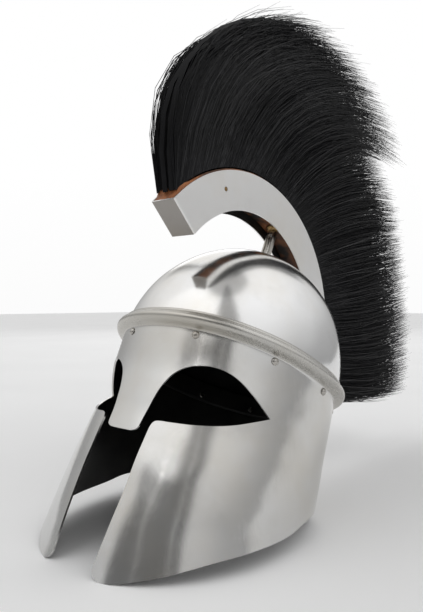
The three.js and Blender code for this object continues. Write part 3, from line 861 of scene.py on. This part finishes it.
def floor():
    f = Finish("Pale floor")
    tone = f.grain(f.place, 3, 2, 0.5)
    colour = f.ramp(tone, [(0.3, (0.94, 0.94, 0.94)), (0.7, (0.97, 0.97, 0.97))])
    material = f.set(Base_Color=colour, Roughness=0.9)
    bm = bmesh.new()
    bmesh.ops.create_grid(bm, x_segments=2, y_segments=2, size=12)
    mesh = bpy.data.meshes.new("floor")
    bm.to_mesh(mesh)
    bm.free()
    mesh.materials.append(material)
    thing = bpy.data.objects.new("floor", mesh)
    bpy.context.scene.collection.objects.link(thing)


def softbox(name, place, aim, width, height, power):
    lamp = bpy.data.lights.new(name, "AREA")
    lamp.shape = "RECTANGLE"
    lamp.size, lamp.size_y = width, height
    lamp.energy = power
    thing = bpy.data.objects.new(name, lamp)
    thing.location = place
    thing.rotation_euler = (Vector(aim) - Vector(place)).to_track_quat("-Z", "Y").to_euler()
    bpy.context.scene.collection.objects.link(thing)


class Room:
    """The studio's walls of light as a world: brightness by compass direction and height, in degrees."""

    def __init__(self):
        self.world = bpy.data.worlds.new("Pale studio")
        self.world.use_nodes = True
        self.tree = self.world.node_tree
        self.paper = self.tree.nodes["Background"]
        self.paper.inputs["Color"].default_value = (1, 1, 1, 1)
        apart = self.tree.nodes.new("ShaderNodeSeparateXYZ")
        where = self.tree.nodes.new("ShaderNodeTexCoord").outputs["Generated"]
        self.tree.links.new(where, apart.inputs[0])
        x, y, z = apart.outputs
        self.across = self.sum("DEGREES", self.sum("ARCTAN2", x, self.sum("MULTIPLY", y, -1.0)))
        self.height = self.sum("DEGREES", self.sum("ARCSINE", z))

    def sum(self, operation, a, b=None):
        node = self.tree.nodes.new("ShaderNodeMath")
        node.operation = operation
        for socket, value in zip(node.inputs, (a, b)):
            if isinstance(value, float):
                socket.default_value = value
            elif value is not None:
                self.tree.links.new(value, socket)
        return node.outputs[0]

    def rise(self, value, low, high):
        node = self.tree.nodes.new("ShaderNodeMapRange")
        node.interpolation_type = "SMOOTHSTEP"
        node.inputs["From Min"].default_value = low
        node.inputs["From Max"].default_value = high
        self.tree.links.new(value, node.inputs["Value"])
        return node.outputs["Result"]

    def patch(self, left, right, low, high, soft):
        """1 inside a rectangle of directions, fading to 0 outside it."""
        inside = None
        for value, start, end in ((self.across, left, right), (self.height, low, high)):
            edges = (self.rise(value, start - soft, start + soft), self.rise(value, end + soft, end - soft))
            for edge in edges:
                inside = edge if inside is None else self.sum("MULTIPLY", inside, edge)
        return inside

    def ladder(self, steps):
        """Brightness by height, from pairs of height and level."""
        share = self.sum("DIVIDE", self.sum("ADD", self.height, 90.0), 180.0)
        node = self.tree.nodes.new("ShaderNodeValToRGB")
        set_stops(node.color_ramp, [((height + 90) / 180, (level,) * 3) for height, level in steps])
        self.tree.links.new(share, node.inputs["Fac"])
        return node.outputs["Color"]

    def changed(self, light, patch, factor):
        """The light times a factor inside a patch."""
        return self.sum("MULTIPLY", light, self.sum("ADD", self.sum("MULTIPLY", patch, factor - 1.0), 1.0))

    def lit(self, light, seen):
        """Shines with one light, and shows the other as the plain paper behind the helmet."""
        tree = self.tree
        direct = tree.nodes.new("ShaderNodeLightPath").outputs["Is Camera Ray"]
        mix = tree.nodes.new("ShaderNodeMix")
        mix.data_type = "FLOAT"
        tree.links.new(direct, mix.inputs[0])
        tree.links.new(light, mix.inputs[2])
        tree.links.new(seen, mix.inputs[3])
        tree.links.new(mix.outputs[0], self.paper.inputs["Strength"])
        bpy.context.scene.world = self.world


# level of the light by height, in degrees
LIGHT_BY_HEIGHT = [
    (-90, 0.55), (-6, 0.5), (2, 0.38), (10, 0.47), (25, 0.78), (40, 0.96), (60, 1.08), (90, 1.08),
]
# areas of the walls that are brighter or darker: left, right, low, high, width of the fading edge, factor
LIGHT_PATCHES = [
    (-14, 50, -12, 37, 3, 0.24),
    (27, 59, 34, 90, 5, 0.38),
    (-196, -112, 28, 84, 6, 0.3),
    (-400, 400, 75, 200, 3, 0.5),
    (84, 176, 28, 64, 12, 1.02),
    (-70, 22, 38, 72, 3, 1.2),
    (7.9, 8.9, 22, 40, 0.6, 6.0),
    (39.0, 40.0, 20, 42, 0.6, 6.0),
]

floor()
room = Room()
light = room.ladder(LIGHT_BY_HEIGHT)
for left, right, low, high, soft, factor in LIGHT_PATCHES:
    light = room.changed(light, room.patch(left, right, low, high, soft), factor)
room.lit(light, room.ladder([(-90, 0.96), (-1, 0.97), (12, 1.0), (90, 1.0)]))
middle = (Vector(cad_box[0]) + Vector(cad_box[1])) / 2
softbox("window", (-1.9, 2.3, 2.4), middle, 2.4, 2.4, 14)
bpy.context.scene.view_settings.view_transform = "Standard"

# the camera stands level, before the wearer's left cheek
ring = SET_DOWN @ Vector((0, 0, 0))
camera_data = bpy.data.cameras.new("camera")
camera = bpy.data.objects.new("camera", camera_data)
bpy.context.scene.collection.objects.link(camera)
camera_data.sensor_width = 36
camera_data.lens = 34.71
AZIMUTH, ELEVATION, ROLL = math.radians(44.1), math.radians(-21.18), math.radians(19.19)
AHEAD, RIGHT, UP = 590.01, 21.35, -64.78
toward = Vector((math.sin(AZIMUTH) * math.cos(ELEVATION), -math.cos(AZIMUTH) * math.cos(ELEVATION),
                 math.sin(ELEVATION)))
across = Vector((math.cos(AZIMUTH), math.sin(AZIMUTH), 0))
above = toward.cross(across)
right = across * math.cos(ROLL) + above * math.sin(ROLL)
up = above * math.cos(ROLL) - across * math.sin(ROLL)
stand = -RIGHT * right - UP * up + AHEAD * toward
turn = lean_back.to_3x3()
camera.matrix_world = Matrix.Translation(SET_DOWN @ stand) @ Matrix(
    (turn @ right, turn @ up, turn @ toward)).transposed().to_4x4()
bpy.context.scene.camera = camera
